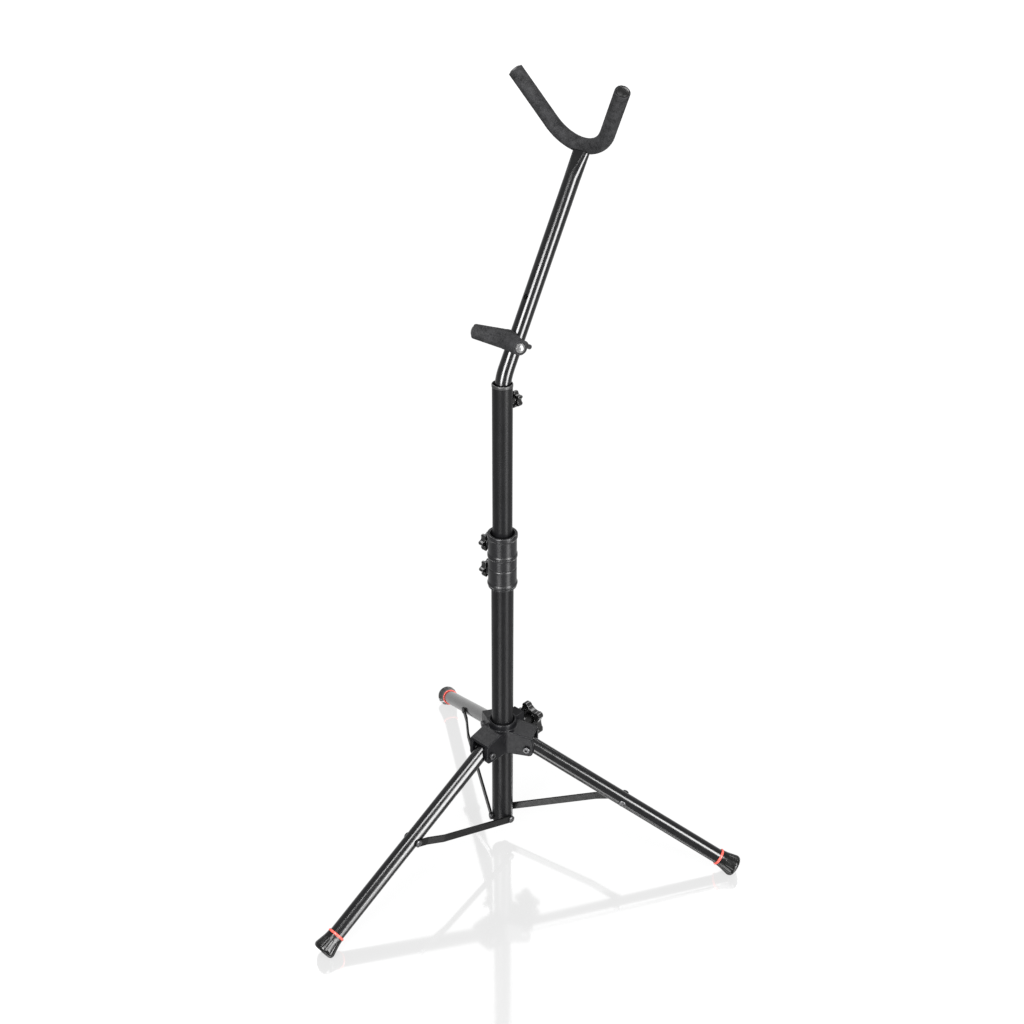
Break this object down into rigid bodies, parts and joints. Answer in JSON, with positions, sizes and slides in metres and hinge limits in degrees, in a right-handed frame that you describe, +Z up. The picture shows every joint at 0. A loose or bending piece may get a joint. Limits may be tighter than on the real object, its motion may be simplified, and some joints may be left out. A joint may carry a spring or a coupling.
{
  "type": "saxophone stand",
  "caption": "Folding tripod stand with a telescoping mast, a bent swivelling arm, a padded yoke for the bell and a padded two-armed peg for the body of a saxophone.",
  "frame": {"origin": "on the mast axis at floor level", "axes": "+Z up; -Y toward the front leg and the side the instrument leans in from; +X to the right when seen from the front"},
  "size_m": [0.5806, 0.5065, 1.0286],
  "materials": {
    "satin_tube": "satin black powder coat",
    "gloss_tube": "gloss black paint",
    "black_plastic": "matte",
    "collar_plastic": "satin moulded",
    "hub_plastic": "satin moulded, glass-filled",
    "glide_plastic": "natural nylon",
    "knob_plastic": "semi-gloss",
    "zinc_steel": "zinc plated",
    "bright_steel": "bright plated",
    "brass_insert": "turned",
    "black_steel": "black",
    "strut_steel": "black paint",
    "foot_rubber": "gloss rubber",
    "ring_red": "red trim ring",
    "foam": "open-textured foam rubber",
    "cap_rubber": "smooth",
    "peg_cap_plastic": "semi-gloss"
  },
  "bodies": {
    "mast": {"lower_tube": "satin_tube", "base_plug": "black_plastic", "base_rivets": "bright_steel", "clutch": "collar_plastic", "clutch_bushing": "glide_plastic"},
    "hub": {"hub": "hub_plastic", "pivot_barrels": "bright_steel", "pivot_screws": "bright_steel", "hub_insert": "brass_insert"},
    "hub_knob": {"hub_knob": "knob_plastic", "hub_screw": "zinc_steel"},
    "leg_front": {"leg_front": "gloss_tube", "leg_plug_front": "black_plastic", "foot_ring_front": "ring_red", "foot_front": "foot_rubber", "strut_pin_front": "bright_steel"},
    "leg_right": {"leg_right": "gloss_tube", "leg_plug_right": "black_plastic", "foot_ring_right": "ring_red", "foot_right": "foot_rubber", "strut_pin_right": "bright_steel"},
    "leg_left": {"leg_left": "gloss_tube", "leg_plug_left": "black_plastic", "foot_ring_left": "ring_red", "foot_left": "foot_rubber", "strut_pin_left": "bright_steel"},
    "strut_front": {"strut_front": "strut_steel", "strut_rivet_front": "bright_steel"},
    "strut_right": {"strut_right": "strut_steel", "strut_rivet_right": "bright_steel"},
    "strut_left": {"strut_left": "strut_steel", "strut_rivet_left": "bright_steel"},
    "clutch_knob": {"clutch_knob": "knob_plastic", "clutch_screw": "zinc_steel"},
    "stop": {"stop_collar": "collar_plastic"},
    "stop_knob": {"stop_knob": "knob_plastic", "stop_screw": "zinc_steel"},
    "mid": {"mid_tube": "satin_tube", "mid_glide": "glide_plastic", "mid_cap": "black_plastic", "mid_insert": "black_steel"},
    "mid_knob": {"mid_knob": "knob_plastic", "mid_screw": "zinc_steel"},
    "arm_sleeve": {"arm_sleeve": "glide_plastic"},
    "arm": {"arm_tube": "gloss_tube", "yoke_rod": "black_steel", "yoke_foam": "foam", "yoke_caps": "cap_rubber"},
    "peg": {"peg_rod": "zinc_steel", "peg_foam": "foam", "peg_caps": "peg_cap_plastic"},
    "peg_nut": {"peg_nut": "knob_plastic", "peg_washer": "bright_steel"}
  },
  "joints": [
    {"name": "hub_slide", "type": "slide", "parent": "mast", "child": "hub", "axis": [0, 0, 1], "range_m": [0, 0.1927]},
    {"name": "leg_front_fold", "type": "hinge", "parent": "hub", "child": "leg_front", "pos_m": [0, -0.0374, 0.16608], "axis": [1, 0, 0], "range_deg": [0, 61.53]},
    {"name": "leg_right_fold", "type": "hinge", "parent": "hub", "child": "leg_right", "pos_m": [0.03239, 0.0187, 0.16608], "axis": [-0.5, 0.866, 0], "range_deg": [0, 61.53]},
    {"name": "leg_left_fold", "type": "hinge", "parent": "hub", "child": "leg_left", "pos_m": [-0.03239, 0.0187, 0.16608], "axis": [-0.5, -0.866, 0], "range_deg": [0, 61.53]},
    {"name": "strut_front_fold", "type": "hinge", "parent": "mast", "child": "strut_front", "pos_m": [0.0159, 0, 0.0344], "axis": [-1, 0, 0], "range_deg": [0, 58.24]},
    {"name": "strut_right_fold", "type": "hinge", "parent": "mast", "child": "strut_right", "pos_m": [-0.00795, 0.01377, 0.0344], "axis": [0.5, -0.866, 0], "range_deg": [0, 58.24]},
    {"name": "strut_left_fold", "type": "hinge", "parent": "mast", "child": "strut_left", "pos_m": [-0.00795, -0.01377, 0.0344], "axis": [0.5, 0.866, 0], "range_deg": [0, 58.24]},
    {"name": "hub_knob_turn", "type": "hinge", "parent": "hub", "child": "hub_knob", "pos_m": [0, 0.045, 0.171], "axis": [0, 1, 0], "range_deg": [0, 720]},
    {"name": "clutch_knob_turn", "type": "hinge", "parent": "mast", "child": "clutch_knob", "pos_m": [-0.026, 0, 0.424], "axis": [-1, 0, 0], "range_deg": [0, 720]},
    {"name": "mid_slide", "type": "slide", "parent": "mast", "child": "mid", "axis": [0, 0, 1], "range_m": [-0.1, 0.095]},
    {"name": "stop_slide", "type": "slide", "parent": "mast", "child": "stop", "axis": [0, 0, 1], "range_m": [0, 0.06]},
    {"name": "stop_knob_turn", "type": "hinge", "parent": "stop", "child": "stop_knob", "pos_m": [-0.026, 0, 0.463], "axis": [-1, 0, 0], "range_deg": [0, 720]},
    {"name": "mid_knob_turn", "type": "hinge", "parent": "mid", "child": "mid_knob", "pos_m": [0, 0.022, 0.661], "axis": [0, 1, 0], "range_deg": [0, 720]},
    {"name": "arm_lift", "type": "slide", "parent": "mid", "child": "arm_sleeve", "axis": [0, 0, 1], "range_m": [0, 0.05]},
    {"name": "arm_swivel", "type": "hinge", "parent": "arm_sleeve", "child": "arm", "pos_m": [0, 0, 0.6], "axis": [0, 0, 1], "continuous": true},
    {"name": "peg_pull", "type": "slide", "parent": "arm", "child": "peg", "axis": [0, -0.8829, 0.4695], "range_m": [0, 0.03]},
    {"name": "peg_nut_turn", "type": "hinge", "parent": "arm", "child": "peg_nut", "pos_m": [0, 0.02207, 0.7335], "axis": [0, -0.8829, 0.4695], "range_deg": [0, 720]}
  ],
  "couplings": [
    {"joint": "leg_front_fold", "follows": "hub_slide", "rad_per_m": 5.5711},
    {"joint": "leg_right_fold", "follows": "hub_slide", "rad_per_m": 5.5711},
    {"joint": "leg_left_fold", "follows": "hub_slide", "rad_per_m": 5.5711},
    {"joint": "strut_front_fold", "follows": "hub_slide", "rad_per_m": 5.2728},
    {"joint": "strut_right_fold", "follows": "hub_slide", "rad_per_m": 5.2728},
    {"joint": "strut_left_fold", "follows": "hub_slide", "rad_per_m": 5.2728}
  ]
}
